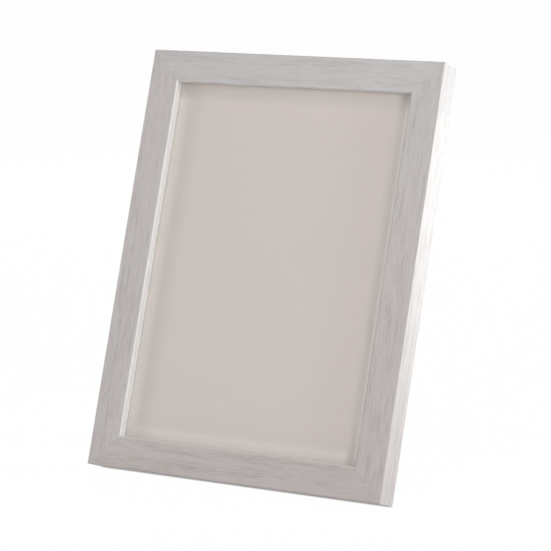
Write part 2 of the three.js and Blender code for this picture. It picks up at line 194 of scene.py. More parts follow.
# A strip of sheet metal: an oblong section with eased corners, carried square to a path in y and z.
def strip(path, halfWidth, thickness, ease, steps=3):
    along = unit(np.gradient(path, axis=0))
    square = np.stack([-along[:, 1], along[:, 0]], 1)
    side = np.repeat([[-1, -1], [1, -1], [1, 1], [-1, 1]], steps + 1, axis=0)
    angle = (np.radians([[180], [270], [0], [90]]) + np.linspace(0, math.pi / 2, steps + 1)).ravel()
    halfWidth = np.broadcast_to(halfWidth, len(path))[:, None]
    small = np.minimum(ease, halfWidth)
    x = side[:, 0] * (halfWidth - small) + small * np.cos(angle)
    off = side[:, 1] * (thickness / 2 - ease) + ease * np.sin(angle)
    points = np.stack([x, path[:, :1] + off * square[:, :1], path[:, 1:] + off * square[:, 1:]], -1)
    return points.reshape(-1, 3), capped(len(path), len(angle))


# A wire: a circle carried square to a closed path in x and z.
def wire(path, radius, sides=20):
    along = unit(np.roll(path, -1, 0) - np.roll(path, 1, 0))
    angle = np.linspace(0, 2 * math.pi, sides, endpoint=False)
    aside = radius * np.cos(angle)
    points = np.stack(np.broadcast_arrays(
        path[:, :1] + along[:, 1:] * aside, radius * np.sin(angle), path[:, 1:] - along[:, :1] * aside), -1)
    return points.reshape(-1, 3), [gridFaces(len(path), sides, roundRows=True)]


# A straight round rod along Y through a point in x and z, for cutting holes.
def rod(radius, low, high, x, z, sides=40):
    points, faces = turned([(0, low), (radius, low), (radius, high), (0, high)], sides)
    return points + [x, 0, z], faces


# Points on a low dome from its rim to its top: the circle through both, a few steps at a time.
def dome(radius, base, height, steps=10):
    ball = (radius**2 + height**2) / (2 * height)
    angle = np.arcsin(radius / ball) * np.linspace(1, 0, steps + 1)
    return np.stack([ball * np.sin(angle), base + height - ball * (1 - np.cos(angle))], 1)


# A mesh object from a shape's points, once they are put in their place, and its faces.
def makeObject(name, shape, place=lambda points: points):
    points, faces = shape
    mesh = bpy.data.meshes.new(name)
    mesh.from_pydata(place(points).tolist(), [], [corners for block in faces for corners in block.tolist()])
    piece = bpy.data.objects.new(name, mesh)
    scene.collection.objects.link(piece)
    return piece


# cutPast is how far a cutter reaches past a face, and justUnder keeps two arcs from sharing a point.
making = {
    "weld": 0.0002, "sharpAngle": math.radians(35), "bevelSegments": 2, "cutPast": 1.0, "justUnder": 0.001,
}


# Merges points that meet, turns the faces outwards and marks the sharp edges.
def tidyMesh(mesh):
    work = bmesh.new()
    work.from_mesh(mesh)
    bmesh.ops.remove_doubles(work, verts=work.verts, dist=mm * making["weld"])
    bmesh.ops.recalc_face_normals(work, faces=work.faces)
    for edge in work.edges:
        edge.smooth = edge.calc_face_angle(math.pi) < making["sharpAngle"]
    for face in work.faces:
        face.smooth = True
    work.to_mesh(mesh)
    work.free()


def applyModifiers(piece):
    ready = bpy.data.meshes.new_from_object(piece.evaluated_get(bpy.context.evaluated_depsgraph_get()))
    piece.modifiers.clear()
    piece.data = ready


# Eases the sharp edges, cuts the holes, and keeps flat faces flat to the eye.
def finishPiece(piece, cutters=(), ease=0.0):
    tidyMesh(piece.data)
    if ease:
        bevel = piece.modifiers.new("ease", "BEVEL")
        bevel.width, bevel.segments = mm * ease, making["bevelSegments"]
        bevel.limit_method, bevel.angle_limit = "ANGLE", making["sharpAngle"]
        bevel.use_clamp_overlap = True
        applyModifiers(piece)
    for cutter in cutters:
        tidyMesh(cutter.data)
        cut = piece.modifiers.new("cut", "BOOLEAN")
        cut.operation, cut.solver, cut.object = "DIFFERENCE", "EXACT", cutter
    if cutters:
        applyModifiers(piece)
    tidyMesh(piece.data)
    even = piece.modifiers.new("even", "WEIGHTED_NORMAL")
    even.keep_sharp = True
    applyModifiers(piece)
    return piece


def dropCutters(cutters):
    for cutter in cutters:
        bpy.data.objects.remove(cutter)


# Gives a finished piece its material and its body, and hides the CAD node that it stands for.
def fit(piece, material, body, node):
    piece.data.materials.clear()
    piece.data.materials.append(material)
    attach(piece, body)
    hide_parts(node)


class Wire:  # an output socket; a sum with one adds a Math node
    def __init__(self, nodes, socket):
        self.nodes, self.socket = nodes, socket

    def reckon(self, operation, *values):
        return self.nodes.add("ShaderNodeMath", {"operation": operation}, dict(enumerate(values)))

    def __add__(self, other):
        return self.reckon("ADD", self, other)

    def __radd__(self, other):
        return self.reckon("ADD", other, self)

    def __sub__(self, other):
        return self.reckon("SUBTRACT", self, other)

    def __rsub__(self, other):
        return self.reckon("SUBTRACT", other, self)

    def __mul__(self, other):
        return self.reckon("MULTIPLY", self, other)

    def __rmul__(self, other):
        return self.reckon("MULTIPLY", other, self)

    def __abs__(self):
        return self.reckon("ABSOLUTE", self)

    def larger(self, other):
        return self.reckon("MAXIMUM", self, other)

    def smaller(self, other):
        return self.reckon("MINIMUM", self, other)


class Nodes:  # the node tree of a material or of the world
    def __init__(self, tree):
        self.tree = tree
        tree.nodes.clear()

    def add(self, kind, settings=None, sockets=None, output=0):
        made = self.tree.nodes.new(kind)
        for name, value in (settings or {}).items():
            if name == "stops":
                ramp = made.color_ramp
                while len(ramp.elements) < len(value):
                    ramp.elements.new(0.5)
                for element, (position, colour) in zip(ramp.elements, value):
                    element.position, element.color = position, (*colour, 1)
            else:
                setattr(made, name, value)
        for name, value in (sockets or {}).items():
            if isinstance(value, Wire):
                self.tree.links.new(value.socket, made.inputs[name])
            else:
                made.inputs[name].default_value = value
        return Wire(self, made.outputs[output])


def newMaterial(name):
    material = bpy.data.materials.new(name)
    material.use_nodes = True
    return material, Nodes(material.node_tree)


# Noise whose cells have one size, or a size of their own along each axis, in metres.
def noise(nodes, vector, size, detail=2.0, roughness=0.5, seed=0.0, distortion=0.0):
    scaled = nodes.add("ShaderNodeMapping", {}, {
        "Vector": vector, "Scale": 1 / np.broadcast_to(size, 3), "Location": (seed, 2.7 * seed, 5.1 * seed)})
    return nodes.add("ShaderNodeTexNoise", {"noise_dimensions": "3D"}, {
        "Vector": scaled, "Scale": 1.0, "Detail": detail, "Roughness": roughness, "Distortion": distortion})


# 0 below the first value, 1 above the second, and a smooth climb between them.
def rise(nodes, value, low, high):
    return nodes.add("ShaderNodeMapRange", {"interpolation_type": "SMOOTHSTEP", "clamp": True}, {
        "Value": value, "From Min": low, "From Max": high})


def blendColour(nodes, factor, first, second, blend="MIX"):
    pick = lambda c: c if isinstance(c, Wire) else (*c, 1)
    return nodes.add("ShaderNodeMix", {"data_type": "RGBA", "blend_type": blend, "clamp_factor": True}, {
        0: factor, 6: pick(first), 7: pick(second)}, output=2)


def bump(nodes, height, depth, strength=1.0):
    return nodes.add("ShaderNodeBump", {}, {"Height": height, "Distance": depth, "Strength": strength})


def output(nodes, shader, kind="ShaderNodeOutputMaterial"):
    made = nodes.tree.nodes.new(kind)
    nodes.tree.links.new(shader.socket, made.inputs["Surface"])


def principled(nodes, sockets):
    return nodes.add("ShaderNodeBsdfPrincipled", {}, sockets)


print("tools ready")

moulding = {
    "width": 15.0, "depth": 14.3, "rim": 10.5, "rebate": 9.5, "outerWidth": 152.0, "outerHeight": 202.0,
    "sightRadius": 1.0, "outerRadius": 0.5, "backRadius": 0.2,
    "backLipRadius": 0.3, "lipRadius": 0.1, "rebateRadius": 0.12, "arcSteps": 9,
    "mitreLine": 0.018, "mitreEase": 0.03, "stations": 25,
    "wedgeReach": 7.5, "wedgeLength": 5.5, "wedgeThickness": 0.5, "wedgeDepth": 7.4, "wedgeFit": 0.05,
    "screwSpacing": 112.0, "pilotRadius": 1.15, "pilotDepth": 9.3,
}
halfAcross, halfUp = moulding["outerWidth"] / 2, moulding["outerHeight"] / 2

# Where each member's outer edge is, and its own shade, fade from end to end, lime and grain.
# Shade and fade are partly the member's own tone and partly painted shade, which makes the frame
# darker towards its lower right. The lime is partly painted light on the inner wall.
members = {
    "bottom_rail": {
        "length": "outerWidth", "place": (0, 0, 0), "turn": 0,
        "shade": (1.008, 0.968, 0.957), "fade": (0.905, 0.878, 0.882), "limeAndLight": 0.5, "grain": 1.0,
    },
    "top_rail": {
        "length": "outerWidth", "place": (0, 0, 2 * halfUp), "turn": math.pi,
        "shade": (1.032, 1.02, 1.036), "fade": (1, 1, 1), "limeAndLight": 0.25, "grain": 0.8,
    },
    "left_stile": {
        "length": "outerHeight", "place": (-halfAcross, 0, halfUp), "turn": math.pi / 2, "side": -1,
        "shade": (1.017, 0.983, 0.989), "fade": (1, 1, 1), "limeAndLight": 0.5, "grain": 1.0,
    },
    "right_stile": {
        "length": "outerHeight", "place": (halfAcross, 0, halfUp), "turn": -math.pi / 2, "side": 1,
        "shade": (0.95, 0.89, 0.897), "fade": (1.061, 1.108, 1.107), "limeAndLight": 0.33, "grain": 1.08,
    },
}


# The section, out of the back and in from the outer edge: round the rebate's wall, the back, the
# outer side, the front and the lip.
def mouldingProfile():
    m = moulding
    corners = [
        (-m["rebate"], m["rim"]), (0, m["rim"]), (0, 0),
        (-m["depth"], 0), (-m["depth"], m["width"]), (-m["rebate"], m["width"]),
    ]
    radii = [
        m["rebateRadius"], m["backLipRadius"], m["backRadius"],
        m["outerRadius"], m["sightRadius"], m["lipRadius"],
    ]
    return rounded(corners, radii, m["arcSteps"])


# How far round the profile each of its points lies, in metres.
def profileRun(profile):
    return mm * np.concatenate([[0], np.linalg.norm(np.diff(profile, axis=0), axis=1).cumsum()])


# The profile carried along X and cut on the mitre: the further in from the outer edge, the shorter.
# The foil's own map has the distance along the member and the distance round the profile.
def makeMember(name, member):
    m, profile = moulding, mouldingProfile()
    profile = np.vstack([profile, profile[:1]])
    share = np.linspace(-1, 1, m["stations"])[:, None]
    x = share * (m[member["length"]] / 2 - m["mitreLine"] / math.sqrt(2) - profile[:, 1])
    points = np.stack(np.broadcast_arrays(x, profile[:, 0], profile[:, 1]), -1).reshape(-1, 3)
    place = lambda p: onFrame(aboutY(p, member["turn"]) + member["place"])
    piece = makeObject(name + "_moulding", (points, capped(*x.shape, seam=True)), place)
    foilMap = piece.data.uv_layers.new(name="foilRun")
    corner = np.empty(len(piece.data.loops), np.int32)
    piece.data.loops.foreach_get("vertex_index", corner)
    spot = np.stack([mm * x.ravel(), np.broadcast_to(profileRun(profile), x.shape).ravel()], 1)
    foilMap.data.foreach_set("uv", spot[corner].ravel())
    return piece


# A wedge's bent outline a little enlarged, as the slot that it was driven into.
def wedgeSlots():
    m, slots = moulding, []
    grow = m["wedgeFit"]
    far, near = m["wedgeReach"] + grow, m["wedgeReach"] - m["wedgeThickness"] - grow
    end = m["wedgeReach"] - m["wedgeLength"] - grow
    outline = np.array([(end, near), (near, near), (near, end), (far, end), (far, far), (end, far)], float)
    for sideX in (-1, 1):
        for sideZ in (-1, 1):
            placed = [sideX * halfAcross, halfUp * (1 + sideZ)] - outline * [sideX, sideZ]
            slot = plate(placed, -m["wedgeDepth"] - grow, making["cutPast"], 0)
            slots.append(makeObject("wedgeSlot", slot, onFrame))
    return slots


# Where a turn button's screw sits, on the middle of the rim; side and end are -1 or 1.
def screwSpot(side, end):
    m = moulding
    return side * (m["outerWidth"] - m["rim"]) / 2, halfUp + end * m["screwSpacing"] / 2


# The holes in a stile that its two button screws go into.
def pilotHoles(side):
    m = moulding
    hole = lambda end: rod(m["pilotRadius"], -m["pilotDepth"], making["cutPast"], *screwSpot(side, end))
    return [makeObject("pilotHole", hole(end), onFrame) for end in (-1, 1)]


# The foil's grain runs along the member. Each member has a shade of its own, which fades a little
# from one end to the other: partly its own tone, and partly painted shade that makes the frame darker
# towards its lower right. The lime is thicker on the inner wall: partly real whitewash, and partly
# painted light, most on the left and bottom walls, which face the light, and least on the top wall.
def whitewashMaterial(name, seed, member):
    # Colours, then how strongly each layer shows, then lengths round the profile in metres.
    look = {
        "pale": (0.50, 0.482, 0.47), "middle": (0.474, 0.456, 0.4445), "dark": (0.372, 0.348, 0.333),
        "limeAndLight": (0.90, 0.88, 0.86), "rawPale": (0.62, 0.50, 0.36), "rawDark": (0.47, 0.34, 0.22),
        "broad": 0.6, "mottle": 0.65, "fine": 1.2, "hair": 0.9, "dash": 0.45, "worn": 0.5,
        "drift": 0.004, "arrisFull": 0.0002, "arrisEnd": 0.0007, "wallBlend": 0.0003,
        "turnedOver": 0.0022, "roundLip": 0.0004,
        "backTear": 0.00015, "lipTear": 0.0001, "tearWander": 0.0008,
    }
    # The middles of the profile's arcs, in the order of its corners.
    middles = profileRun(mouldingProfile())[moulding["arcSteps"] // 2::moulding["arcSteps"] + 1]
    backEdge, outerArris, sightEdge, lipBack = middles[2:]
    foilStart, foilEnd = backEdge - look["turnedOver"], lipBack + look["roundLip"]
    # The member's shade: partly its own tone, partly painted shade.
    pale, middle, dark = [np.multiply(look[key], member["shade"]) for key in ("pale", "middle", "dark")]
    material, nodes = newMaterial(name)
    run = nodes.add("ShaderNodeUVMap", {"uv_map": "foilRun"})
    drift = noise(nodes, run, (0.07, 0.02, 1), 1.0, seed=seed + 3)
    shift = nodes.add("ShaderNodeCombineXYZ", {}, {"Y": (drift - 0.5) * look["drift"]})
    grain = nodes.add("ShaderNodeVectorMath", {"operation": "ADD"}, {0: run, 1: shift})
    broad = noise(nodes, grain, (0.10, 0.0045, 1), 2.0, seed=seed)
    mottle = noise(nodes, grain, (0.012, 0.0022, 1), 2.0, seed=seed + 15)
    fine = noise(nodes, grain, (0.016, 0.0006, 1), 4.0, 0.62, seed=seed + 1, distortion=0.35)
    hair = noise(nodes, grain, (0.006, 0.0003, 1), 2.0, 0.55, seed=seed + 7, distortion=0.2)
    patch = rise(nodes, noise(nodes, grain, (0.04, 0.006, 1), 1.0, seed=seed + 2), 0.42, 0.66)
    dash = rise(nodes, noise(nodes, grain, (0.0075, 0.00042, 1), 1.0, seed=seed + 5), 0.60, 0.72) * patch
    streaks = (broad - 0.5) * look["broad"] + (mottle - 0.5) * look["mottle"]
    streaks = streaks + (fine - 0.5) * look["fine"] + (hair - 0.5) * look["hair"]
    tone = streaks * member["grain"] + 0.5
    stops = [(0.15, dark), (0.5, middle), (0.85, pale)]
    wash = nodes.add("ShaderNodeValToRGB", {"stops": stops}, {"Fac": tone})
    wash = blendColour(nodes, dash * look["dash"], wash, dark)
    along, across = [nodes.add("ShaderNodeSeparateXYZ", {}, {"Vector": run}, output=axis) for axis in (0, 1)]
    arris = 1 - rise(nodes, abs(across - outerArris), look["arrisFull"], look["arrisEnd"])
    worn = arris * rise(nodes, noise(nodes, run, (0.012, 0.004, 1), 3.0, seed=seed + 9), 0.2, 0.7)
    wash = blendColour(nodes, worn * look["worn"], wash, dark)
    # The fade from end to end: partly the member's tone, partly painted shade.
    share = along * (1 / (mm * moulding[member["length"]])) + 0.5
    wash = blendColour(nodes, share, wash, member["fade"], "MULTIPLY")
    # Paler lime on the inner wall: partly thicker whitewash, partly painted light on the walls.
    wallLimeAndLight = rise(nodes, across, sightEdge - look["wallBlend"], sightEdge + look["wallBlend"])
    wash = blendColour(nodes, wallLimeAndLight * member["limeAndLight"], wash, look["limeAndLight"])
    raw = blendColour(nodes, rise(nodes, tone, 0.1, 0.9), look["rawDark"], look["rawPale"])
    wander = (noise(nodes, run, (0.006, 0.006, 1), 2.0, seed=seed + 11) - 0.5) * look["tearWander"]
    bare = 1 - rise(nodes, across + wander, foilStart, foilStart + look["backTear"])
    bare = bare + rise(nodes, across, foilEnd, foilEnd + look["lipTear"])
    output(nodes, principled(nodes, {
        "Base Color": blendColour(nodes, bare, wash, raw),
        "Roughness": 0.5 + dash * 0.15 + bare * 0.25 + (hair - 0.5) * 0.15,
        "Normal": bump(nodes, fine * 0.6 + hair * 0.4 - dash * 0.8, 0.00004, 0.8)}))
    return material


slots = wedgeSlots()
for number, (name, member) in enumerate(members.items()):
    piece = makeMember(name, member)
    holes = pilotHoles(member["side"]) if "side" in member else []
    finishPiece(piece, [*slots, *holes], ease=moulding["mitreEase"])
    dropCutters(holes)
    fit(piece, whitewashMaterial("whitewash_" + name, 13.0 * number, member), "frame", name)
dropCutters(slots)
print("mouldings made")


# Clear glass. Lamp light, and light off what is matt, goes straight through it to the insert.
def glassMaterial():
    material, nodes = newMaterial("pane_glass")
    place = nodes.add("ShaderNodeTexCoord", output="Object")
    haze = noise(nodes, place, 0.05, 3.0, 0.6, seed=2)
    ripple = noise(nodes, place, (0.06, 0.06, 0.018), 1.0, seed=5)
    glass = principled(nodes, {
        "Base Color": (0.985, 0.992, 0.99, 1), "Transmission Weight": 1.0, "IOR": 1.5,
        "Specular Tint": (0.35, 0.35, 0.35, 1),
        "Roughness": haze * 0.02, "Normal": bump(nodes, ripple, 0.00002, 0.06)})
    clear = nodes.add("ShaderNodeBsdfTransparent", {}, {"Color": (0.965, 0.975, 0.972, 1)})
    shadow = nodes.add("ShaderNodeLightPath", output="Is Shadow Ray")
    bounced = nodes.add("ShaderNodeLightPath", output="Is Diffuse Ray")
    output(nodes, nodes.add("ShaderNodeMixShader", {}, {0: shadow.larger(bounced), 1: glass, 2: clear}))
    return material


# A blank sheet with a paler margin: how far a point lies in from the sight edge sets its tone. The paler
# margin, and the paler rim at the sight edge, are partly the sheet's own tone and partly painted light
# that lightens the sheet where the lips shade it.
def insertMaterial():
    # Colours, then the paler part's shift off the middle and the ends of its blends, in metres.
    look = {
        "paper": (0.642, 0.559, 0.529), "shade": (0.618, 0.536, 0.506),
        "margin": (0.712, 0.628, 0.594), "rim": (0.90, 0.83, 0.795),
        "offX": -0.0012, "offUp": 0.0008,
        "rimFull": 0.0008, "rimEnd": 0.0034, "marginFull": 0.003, "marginEnd": 0.0075,
    }
    sightX, sightUp = mm * (halfAcross - moulding["width"]), mm * (halfUp - moulding["width"])
    middleUp = float(aboutX(onFrame([0, 0, halfUp]), stance["lean"])[2])
    material, nodes = newMaterial("blank_insert")
    place = nodes.add("ShaderNodeTexCoord", output="Object")
    cloud = noise(nodes, place, 0.05, 2.0, seed=1)
    fibre = noise(nodes, place, 0.0009, 3.0, 0.6, seed=4)
    tone = 0.5 + (cloud - 0.5) * 0.5 + (fibre - 0.5) * 0.5
    upright = nodes.add("ShaderNodeMapping", {}, {"Vector": place, "Rotation": (stance["lean"], 0, 0)})
    x, up = [nodes.add("ShaderNodeSeparateXYZ", {}, {"Vector": upright}, output=axis) for axis in (0, 2)]
    aside, above = sightX - abs(x - look["offX"]), sightUp - abs(up - (middleUp + look["offUp"]))
    # The rim and the margin: partly the sheet's own paler tone, partly painted light where the lips shade
    # it.
    offRim = rise(nodes, aside, look["rimFull"], look["rimEnd"])
    margin = blendColour(nodes, offRim, look["rim"], look["margin"])
    centre = rise(nodes, aside.smaller(above), look["marginFull"], look["marginEnd"])
    colour = blendColour(nodes, centre, margin, blendColour(nodes, tone, look["shade"], look["paper"]))
    output(nodes, principled(nodes, {
        "Base Color": colour, "Roughness": 0.8 + fibre * 0.1,
        "Specular IOR Level": 0.1, "Normal": bump(nodes, fibre, 0.00001, 0.5)}))
    return material


# Grey card: pressed pulp with darker flecks.
def cardMaterial():
    look = {"pale": (0.46, 0.42, 0.35), "dark": (0.33, 0.30, 0.25)}
    material, nodes = newMaterial("grey_card")
    place = nodes.add("ShaderNodeTexCoord", output="Object")
    pulp = noise(nodes, place, 0.0012, 4.0, 0.7, seed=3)
    fleck = rise(nodes, noise(nodes, place, (0.0006, 0.0006, 0.0018), 2.0, seed=8), 0.62, 0.75)
    tone = rise(nodes, pulp, 0.3, 0.7) * (1 - fleck * 0.6)
    output(nodes, principled(nodes, {
        "Base Color": blendColour(nodes, tone, look["dark"], look["pale"]),
        "Roughness": 0.85 + pulp * 0.1, "Normal": bump(nodes, pulp, 0.00006, 0.6)}))
    return material


# Gives its material to a CAD piece that keeps its own shape.
def dress(node, material):
    for slot in frame["nodes"][node].material_slots:
        slot.material = material


sheets = {"width": 130.0, "height": 180.0, "apart": 0.02}
pane = {"thickness": 2.0, "cornerRadius": 0.6, "cornerSteps": 5, "edgeEase": 0.2}
insert = {"thickness": 0.3, "cornerRadius": 0.3, "cornerSteps": 5, "edgeEase": 0.0}


# The outline of what fills the rebate: the sheets and the back board.
def rebateOutline(sheet):
    half, low, high = sheets["width"] / 2, halfUp - sheets["height"] / 2, halfUp + sheets["height"] / 2
    corners = [(-half, low), (half, low), (half, high), (-half, high)]
    return rounded(corners, sheet["cornerRadius"], sheet["cornerSteps"])


# A sheet in the rebate, lying close behind what is in front of it.
def makeSheet(name, sheet, front):
    low = front + sheets["apart"]
    shape = plate(rebateOutline(sheet), low, low + sheet["thickness"], sheet["edgeEase"])
    return finishPiece(makeObject(name, shape, onFrame))


paneFront = -moulding["rebate"]
insertFront = paneFront + sheets["apart"] + pane["thickness"]
fit(makeSheet("pane_ground_edges", pane, paneFront), glassMaterial(), "frame", "glass_pane")
fit(makeSheet("insert_blank", insert, insertFront), insertMaterial(), "frame", "print_sheet")
dress("filler_card", cardMaterial())
print("glass, insert and card made")


# Smooth brown hardboard: pressed wood fibres, darker flecks, and a slow change of tone.
def hardboardMaterial(name, seed, turn):
    look = {"pale": (0.34, 0.215, 0.125), "middle": (0.265, 0.16, 0.088), "dark": (0.15, 0.085, 0.045)}
    stops = [(0.12, look["dark"]), (0.5, look["middle"]), (0.9, look["pale"])]
    material, nodes = newMaterial(name)
    place = nodes.add("ShaderNodeTexCoord", output="Object")
    place = nodes.add("ShaderNodeMapping", {}, {"Vector": place, "Rotation": (turn, 0, 0)})
    cloud = noise(nodes, place, 0.035, 3.0, 0.55, seed=seed)
    fibre = noise(nodes, place, (0.0009, 0.0009, 0.0022), 4.0, 0.65, seed=seed + 1, distortion=1.2)
    strand = noise(nodes, place, (0.0005, 0.0005, 0.003), 2.0, seed=seed + 2, distortion=2.0)
    strand = rise(nodes, strand, 0.6, 0.74)
    speck = rise(nodes, noise(nodes, place, 0.0011, 1.0, seed=seed + 3), 0.68, 0.76)
    tone = 0.5 + (cloud - 0.5) * 0.8 + (fibre - 0.5) * 1.0 + strand * 0.16
    colour = nodes.add("ShaderNodeValToRGB", {"stops": stops}, {"Fac": tone})
    colour = blendColour(nodes, speck * 0.5, colour, look["dark"])
    output(nodes, principled(nodes, {
        "Base Color": colour, "Roughness": 0.5 + fibre * 0.25 + speck * 0.1,
        "Normal": bump(nodes, fibre * 0.7 + strand * 0.3 - speck * 0.5, 0.00005, 0.7)}))
    return material


board = {
    "thickness": 3.0, "cornerRadius": 0.7, "cornerSteps": 6, "edgeEase": 0.3,
    "seatFloor": -1.7, "rivetTail": -2.0,
}
rivetSize = {
    "headRadius": 2.5, "headEdge": 0.15, "headHeight": 0.88, "headLift": 0.02, "shankRadius": 1.2,
    "tailRadius": 2.0, "tailHeight": 0.7, "edgeEase": 0.12, "holeRadius": 1.25, "seatRadius": 2.1,
}
hingeRivets = {"aside": 5.5, "away": 12.5}  # from the pin
rivetUp = stance["hingeUp"] + hingeRivets["away"]
boardRivets = {
    "hinge_board_rivet_1": {"at": (-hingeRivets["aside"], rivetUp), "face": 1.1},
    "hinge_board_rivet_2": {"at": (hingeRivets["aside"], rivetUp), "face": 1.1},
    "top_hanger_rivet": {"at": (0, 171.2), "face": 1.9},
    "side_hanger_rivet": {"at": (45.2, halfUp), "face": 1.9},
}


# The back board, with a hole for each rivet's shank and a wider seat in front for its tail.
def makeBackBoard():
    b, r = board, rivetSize
    shape = plate(rebateOutline(b), -b["thickness"], 0, b["edgeEase"])
    piece = makeObject("back_board_panel", shape, onFrame)
    front, back, holes = -b["thickness"] - making["cutPast"], making["cutPast"], []
    for rivet in boardRivets.values():
        holes.append(makeObject("hole", rod(r["holeRadius"], front, back, *rivet["at"]), onFrame))
        holes.append(makeObject("hole", rod(r["seatRadius"], front, b["seatFloor"], *rivet["at"]), onFrame))
    finishPiece(piece, holes)
    dropCutters(holes)
    fit(piece, hardboardMaterial("board_hardboard", 0.0, stance["lean"]), "frame", "back_board")


leg = {
    "inner": 1.9, "outer": 4.9, "reach": 128.87, "footHalf": 22.0, "footRadius": 0.2,
    "topRise": 6.0, "topHalf": 13.0, "topRadius": 4.0, "cornerSteps": 8,
    "bevelRise": 3.585, "bevelDepth": 1.691, "edgeEase": 0.3,
}


# Cuts a closed mesh flat at a plane and closes the cut.
def sliceMesh(mesh, point, direction):
    work = bmesh.new()
    work.from_mesh(mesh)
    parts = work.verts[:] + work.edges[:] + work.faces[:]
    cut = bmesh.ops.bisect_plane(work, geom=parts, plane_co=point, plane_no=direction, clear_outer=True)
    rim = [part for part in cut["geom_cut"] if isinstance(part, bmesh.types.BMEdge)]
    bmesh.ops.contextual_create(work, geom=rim)
    work.to_mesh(mesh)
    work.free()


# The tapered leg: its top is bevelled into its stop, and its foot is cut level with the table.
def makeLeg():
    g = leg
    foot, top, footHalf, topHalf = -g["reach"], g["topRise"], g["footHalf"], g["topHalf"]
    outline = rounded(
        [(-footHalf, foot), (footHalf, foot), (topHalf, top), (-topHalf, top)],
        [g["footRadius"], g["footRadius"], g["topRadius"], g["topRadius"]], g["cornerSteps"])
    piece = makeObject("easel_leg_panel", plate(outline, g["inner"], g["outer"], 0), onLeg)
    bevelEdge = np.array([[0, g["inner"], g["bevelRise"]], [0, g["inner"] + g["bevelDepth"], top]])
    along = aboutX(bevelEdge[1] - bevelEdge[0], stance["legOpening"] - stance["lean"])
    sliceMesh(piece.data, onLeg(bevelEdge)[0], (0, -along[2], along[1]))
    sliceMesh(piece.data, (0, 0, 0), (0, 0, -1))
    low, high = g["inner"] - making["cutPast"], g["outer"] + making["cutPast"]
    holes = []
    for x in (-hingeRivets["aside"], hingeRivets["aside"]):
        hole = rod(rivetSize["holeRadius"], low, high, x, -hingeRivets["away"])
        holes.append(makeObject("hole", hole, onLeg))
    finishPiece(piece, holes, ease=g["edgeEase"])
    dropCutters(holes)
    material = hardboardMaterial("leg_hardboard", 6.0, stance["lean"] - stance["legOpening"])
    fit(piece, material, "leg", "easel_leg")


makeBackBoard()
makeLeg()
print("hardboard made")


# Nickel plate: a satin shine that wanders, faint rubbing marks, and small dull spots.
def platedMaterial(name, seed, colour=(0.52, 0.51, 0.49), roughness=0.34):
    material, nodes = newMaterial(name)
    place = nodes.add("ShaderNodeTexCoord", output="Object")
    cloud = noise(nodes, place, 0.006, 3.0, 0.6, seed=seed)
    rub = noise(nodes, place, (0.0002, 0.004, 0.004), 2.0, 0.6, seed=seed + 2)
    spot = rise(nodes, noise(nodes, place, 0.0009, 2.0, seed=seed + 4), 0.64, 0.74)
    dull = tuple(0.5 * c for c in colour)
    output(nodes, principled(nodes, {
        "Base Color": blendColour(nodes, (1 - cloud) * 0.7 + spot * 0.3, colour, dull), "Metallic": 1.0,
        "Roughness": roughness + (cloud - 0.5) * 0.2 + (rub - 0.5) * 0.12 + spot * 0.15,
        "Normal": bump(nodes, rub * 0.6 + cloud * 0.4, 0.00001, 0.5)}))
    return material


plated = platedMaterial("nickel_plate", 0.0)
wireSteel = platedMaterial("nickel_wire", 4.0, (0.55, 0.54, 0.52), 0.26)
bareSteel = platedMaterial("wedge_strip", 8.0, (0.42, 0.41, 0.40), 0.42)

for corner in ("bottom_left", "bottom_right", "top_right", "top_left"):
    dress("corner_wedge_" + corner, bareSteel)

leaf = {
    "halfWidth": 10.0, "reach": 19.0, "cornerRadius": 2.5, "cornerStart": 0.05, "cornerSteps": 9,
    "thickness": 0.76, "edgeEase": 0.12, "straightSteps": 12,
    "knuckleRadius": 1.6, "curlEnd": 475.0, "curlSteps": 44,
    "knuckleSplit": 3.33, "knuckleGap": 0.1, "notchTop": 1.9, "notchReach": 3.0, "rivetTail": 0.5,
}


# The leaf's path: down from its far end, then round the pin at the middle of the metal.
def leafShape():
    f = leaf
    middle = f["knuckleRadius"] - f["thickness"] / 2
    corner = np.linspace(f["cornerStart"], math.pi / 2, f["cornerSteps"])
    endZ = f["reach"] - f["cornerRadius"] * (1 - np.cos(corner))
    endWidth = f["halfWidth"] - f["cornerRadius"] * (1 - np.sin(corner))
    straight = np.linspace(f["reach"] - f["cornerRadius"], 0, f["straightSteps"])[1:]
    angle = np.radians(np.linspace(180, f["curlEnd"], f["curlSteps"]))[1:]
    y = np.concatenate([np.full(len(endZ) + len(straight), -middle), middle * np.cos(angle)])
    z = np.concatenate([endZ, straight, middle * np.sin(angle)])
    width = np.concatenate([endWidth, np.full(len(straight) + len(angle), f["halfWidth"])])
    return strip(np.stack([y, z], 1), width, f["thickness"], f["edgeEase"])


# Cuts away the knuckles that belong to the other leaf, and the rivets' holes.
def makeLeaf(name, node, body, place, keepMiddle):
    f = leaf
    deep, edge = f["notchReach"], f["halfWidth"] + making["cutPast"]
    split = f["knuckleSplit"] if keepMiddle else f["knuckleSplit"] + f["knuckleGap"]
    spans = [(-edge, -split), (split, edge)] if keepMiddle else [(-split, split)]
    shapes = [box((a, -deep, -deep), (b, deep, f["notchTop"])) for a, b in spans]
    for x in (-hingeRivets["aside"], hingeRivets["aside"]):
        shapes.append(rod(rivetSize["holeRadius"], -deep, deep, x, hingeRivets["away"]))
    cutters = [makeObject("cutter", shape, place) for shape in shapes]
    piece = finishPiece(makeObject(name, leafShape(), place), cutters)
    dropCutters(cutters)
    fit(piece, plated, body, node)


pin = {
    "halfLength": 10.3, "radius": 0.8, "headRadius": 1.3, "headEase": 0.12, "headEdge": 0.3,
    "headHeight": 0.5, "domeSteps": 6, "sides": 36,
}


